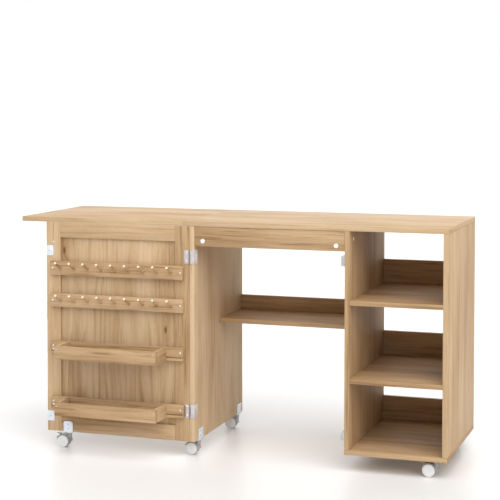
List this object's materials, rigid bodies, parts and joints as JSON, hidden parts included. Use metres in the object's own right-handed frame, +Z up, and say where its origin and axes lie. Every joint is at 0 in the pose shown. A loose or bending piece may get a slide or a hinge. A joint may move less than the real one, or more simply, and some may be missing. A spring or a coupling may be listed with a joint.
{
  "type": "folding sewing table",
  "caption": "Folding sewing table on swivel casters: open shelf column, kneehole bay, drop leaf carried by a swing-out framed door with peg racks and thread trays.",
  "frame": {"origin": "on the floor, at the centre of the bounding box's base, with the leaf up and the door open", "axes": "+Z up, +X along the table to the shelf column, -Y to the front, where the user sits"},
  "size_m": [1.4378, 0.578, 0.769],
  "materials": {
    "oak_board": "light oak foil, satin",
    "rattan": "woven cane webbing",
    "hinge_steel": "nickel plated",
    "white_steel": "white zinc plated",
    "white_plastic": "white",
    "caster_hood": "light grey",
    "caster_wheel": "white"
  },
  "bodies": {
    "cabinet": {"apron": "oak_board", "bay_shelf": "oak_board", "bay_shelf_back": "oak_board", "bottom_board": "oak_board", "caster_side_front_bracket": "white_steel", "caster_side_rear_bracket": "white_steel", "catch_lower": "white_plastic", "catch_upper": "white_plastic", "column_back_bottom": "oak_board", "column_back_lower": "oak_board", "column_back_upper": "oak_board", "column_shelf_lower": "oak_board", "column_shelf_upper": "oak_board", "door_hinge_lower_fixed": "hinge_steel", "door_hinge_upper_fixed": "hinge_steel", "leaf_hinge_front_fixed": "hinge_steel", "leaf_hinge_rear_fixed": "hinge_steel", "partition": "oak_board", "right_panel": "oak_board", "side_panel": "oak_board", "worktop": "oak_board"},
    "door": {"caster_door_bracket": "white_steel", "door_hinge_lower_moving": "hinge_steel", "door_hinge_upper_moving": "hinge_steel", "door_knob": "white_plastic", "door_panel": "oak_board", "door_rail_bottom": "oak_board", "door_rail_top": "oak_board", "door_stile_free": "oak_board", "door_stile_hinge": "oak_board", "peg_rack_lower": "oak_board", "peg_rack_upper": "oak_board", "rattan_panel": "rattan", "tray_lower_back": "oak_board", "tray_lower_floor": "oak_board", "tray_lower_front": "oak_board", "tray_lower_left": "oak_board", "tray_lower_right": "oak_board", "tray_upper_back": "oak_board", "tray_upper_floor": "oak_board", "tray_upper_front": "oak_board", "tray_upper_left": "oak_board", "tray_upper_right": "oak_board"},
    "leaf": {"drop_leaf": "oak_board", "leaf_hinge_front_moving": "hinge_steel", "leaf_hinge_rear_moving": "hinge_steel"},
    "door_caster_swivel": {"caster_door_hood": "caster_hood"},
    "door_caster_wheels": {"caster_door_wheels": "caster_wheel"},
    "door_caster_lever": {"caster_door_lever": "caster_hood"},
    "side_front_caster_swivel": {"caster_side_front_hood": "caster_hood"},
    "side_front_caster_wheels": {"caster_side_front_wheels": "caster_wheel"},
    "side_front_caster_lever": {"caster_side_front_lever": "caster_hood"},
    "side_rear_caster_swivel": {"caster_side_rear_hood": "caster_hood"},
    "side_rear_caster_wheels": {"caster_side_rear_wheels": "caster_wheel"},
    "column_front_caster_swivel": {"caster_column_front_hood": "caster_hood"},
    "column_front_caster_wheels": {"caster_column_front_wheels": "caster_wheel"},
    "column_front_caster_lever": {"caster_column_front_lever": "caster_hood"},
    "column_rear_caster_swivel": {"caster_column_rear_hood": "caster_hood"},
    "column_rear_caster_wheels": {"caster_column_rear_wheels": "caster_wheel"}
  },
  "joints": [
    {"name": "door_swing", "type": "hinge", "parent": "cabinet", "child": "door", "pos_m": [-0.11985, -0.1865, 0.053], "axis": [0, 0, 1], "range_deg": [0, 180]},
    {"name": "leaf_fold", "type": "hinge", "parent": "cabinet", "child": "leaf", "pos_m": [-0.14185, -0.184, 0.7505], "axis": [0, -1, 0], "range_deg": [0, 90]},
    {"name": "door_caster_swivel", "type": "hinge", "parent": "door", "child": "door_caster_swivel", "pos_m": [-0.55385, -0.175, 0.048], "axis": [0, 0, 1], "continuous": true},
    {"name": "door_caster_roll", "type": "hinge", "parent": "door_caster_swivel", "child": "door_caster_wheels", "pos_m": [-0.57385, -0.175, 0.02], "axis": [0, 1, 0], "continuous": true},
    {"name": "door_caster_brake", "type": "hinge", "parent": "door_caster_swivel", "child": "door_caster_lever", "pos_m": [-0.58735, -0.175, 0.0425], "axis": [0, -1, 0], "range_deg": [0, 20]},
    {"name": "side_front_caster_swivel", "type": "hinge", "parent": "cabinet", "child": "side_front_caster_swivel", "pos_m": [-0.11185, -0.129, 0.048], "axis": [0, 0, 1], "continuous": true},
    {"name": "side_front_caster_roll", "type": "hinge", "parent": "side_front_caster_swivel", "child": "side_front_caster_wheels", "pos_m": [-0.13185, -0.129, 0.02], "axis": [0, 1, 0], "continuous": true},
    {"name": "side_front_caster_brake", "type": "hinge", "parent": "side_front_caster_swivel", "child": "side_front_caster_lever", "pos_m": [-0.14535, -0.129, 0.0425], "axis": [0, -1, 0], "range_deg": [0, 20]},
    {"name": "side_rear_caster_swivel", "type": "hinge", "parent": "cabinet", "child": "side_rear_caster_swivel", "pos_m": [-0.11185, 0.251, 0.048], "axis": [0, 0, 1], "continuous": true},
    {"name": "side_rear_caster_roll", "type": "hinge", "parent": "side_rear_caster_swivel", "child": "side_rear_caster_wheels", "pos_m": [-0.13185, 0.251, 0.02], "axis": [0, 1, 0], "continuous": true},
    {"name": "column_front_caster_swivel", "type": "hinge", "parent": "cabinet", "child": "column_front_caster_swivel", "pos_m": [0.67715, -0.15, 0.048], "axis": [0, 0, 1], "continuous": true},
    {"name": "column_front_caster_roll", "type": "hinge", "parent": "column_front_caster_swivel", "child": "column_front_caster_wheels", "pos_m": [0.65715, -0.15, 0.02], "axis": [0, 1, 0], "continuous": true},
    {"name": "column_front_caster_brake", "type": "hinge", "parent": "column_front_caster_swivel", "child": "column_front_caster_lever", "pos_m": [0.64365, -0.15, 0.0425], "axis": [0, -1, 0], "range_deg": [0, 20]},
    {"name": "column_rear_caster_swivel", "type": "hinge", "parent": "cabinet", "child": "column_rear_caster_swivel", "pos_m": [0.67715, 0.255, 0.048], "axis": [0, 0, 1], "continuous": true},
    {"name": "column_rear_caster_roll", "type": "hinge", "parent": "column_rear_caster_swivel", "child": "column_rear_caster_wheels", "pos_m": [0.65715, 0.255, 0.02], "axis": [0, 1, 0], "continuous": true}
  ],
  "couplings": [
    {"joint": "leaf_fold", "follows": "door_swing", "ratio": 0.5}
  ]
}
